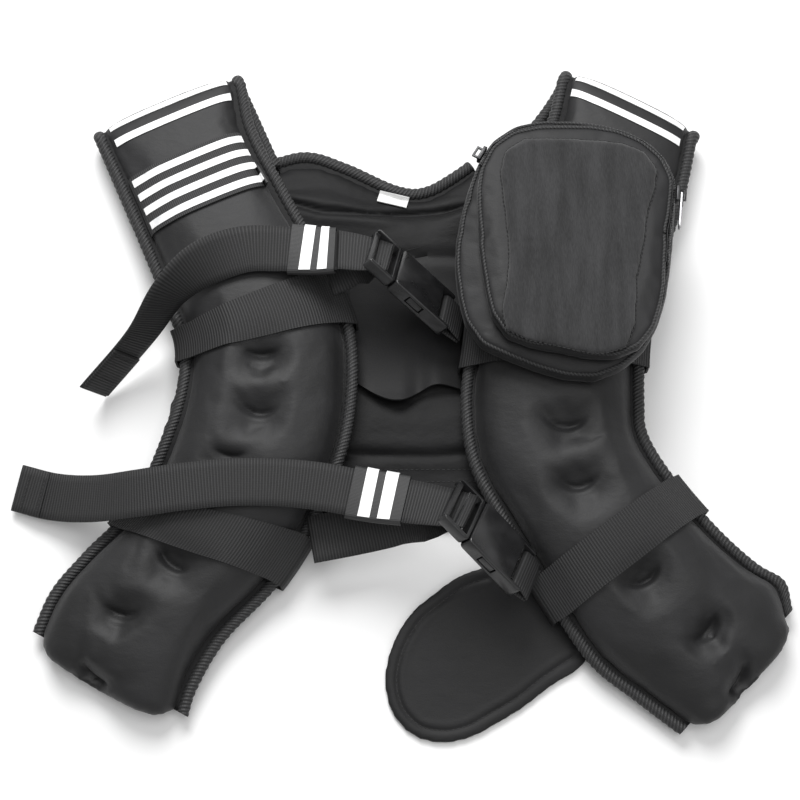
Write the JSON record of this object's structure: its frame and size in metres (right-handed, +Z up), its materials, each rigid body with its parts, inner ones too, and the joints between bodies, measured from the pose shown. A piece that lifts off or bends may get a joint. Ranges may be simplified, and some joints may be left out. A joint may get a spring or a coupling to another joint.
{
  "type": "weighted vest",
  "caption": "Black padded weighted vest lying on its back, with sand-filled front panels, webbing straps with buckles, reflective stripes and a zipped pouch.",
  "frame": {"origin": "middle of the flat underside of the back panel, on the surface the vest lies on", "axes": "+Z up from the surface, +Y towards the neck, +X towards the wearer's left side"},
  "size_m": [0.5019, 0.4487, 0.0873],
  "materials": {
    "neoprene": "soft satin neoprene with a faint sheen",
    "binding": "diagonally ribbed edge binding tape",
    "webbing": "ribbed woven webbing, matte",
    "reflective": "smooth white reflective tape",
    "sleeve": "smooth elastic keeper sleeve",
    "plastic": "satin moulded plastic",
    "brushed": "brushed, slightly napped cloth",
    "lining": "matte lining cloth",
    "label": "blank white woven label",
    "metal": "worn grey metal"
  },
  "bodies": {
    "vest": {"back_panel": "neoprene", "rear_flap": "neoprene", "right_front_panel": "neoprene", "left_front_panel": "neoprene", "right_outer_binding": "binding", "right_inner_binding": "binding", "left_outer_binding": "binding", "left_inner_binding": "binding", "neck_binding": "binding", "right_shoulder_stripe": "reflective", "right_fold_stripe": "reflective", "left_shoulder_stripe": "reflective", "left_fold_stripe": "reflective", "elastic_band": "webbing", "elastic_stripe_1": "reflective", "elastic_stripe_2": "reflective", "elastic_stripe_3": "reflective", "elastic_stripe_4": "reflective", "right_chest_band": "webbing", "right_waist_band": "webbing", "left_chest_band": "webbing", "left_waist_band": "webbing", "inner_flap": "lining", "label": "label", "chest_buckle_frame": "plastic", "chest_buckle_socket": "plastic", "waist_buckle_frame": "plastic", "waist_buckle_socket": "plastic", "chest_strap": "webbing", "waist_strap": "webbing", "chest_load_strap": "webbing", "waist_load_strap": "webbing", "chest_sleeve": "sleeve", "chest_sleeve_bar_1": "reflective", "chest_sleeve_bar_2": "reflective", "waist_sleeve": "sleeve", "waist_sleeve_bar_1": "reflective", "waist_sleeve_bar_2": "reflective", "pouch_rear": "neoprene", "pouch_front": "neoprene", "pouch_face": "brushed", "zip_track": "webbing", "zip_slider": "metal", "rear_zip_slider": "metal"},
    "zip_puller": {"zip_puller": "metal"}
  },
  "joints": [
    {"name": "puller_swing", "type": "hinge", "parent": "vest", "child": "zip_puller", "pos_m": [0.18004, 0.12466, 0.06702], "axis": [0, 0.0872, 0.9962], "range_deg": [0, 150]}
  ]
}
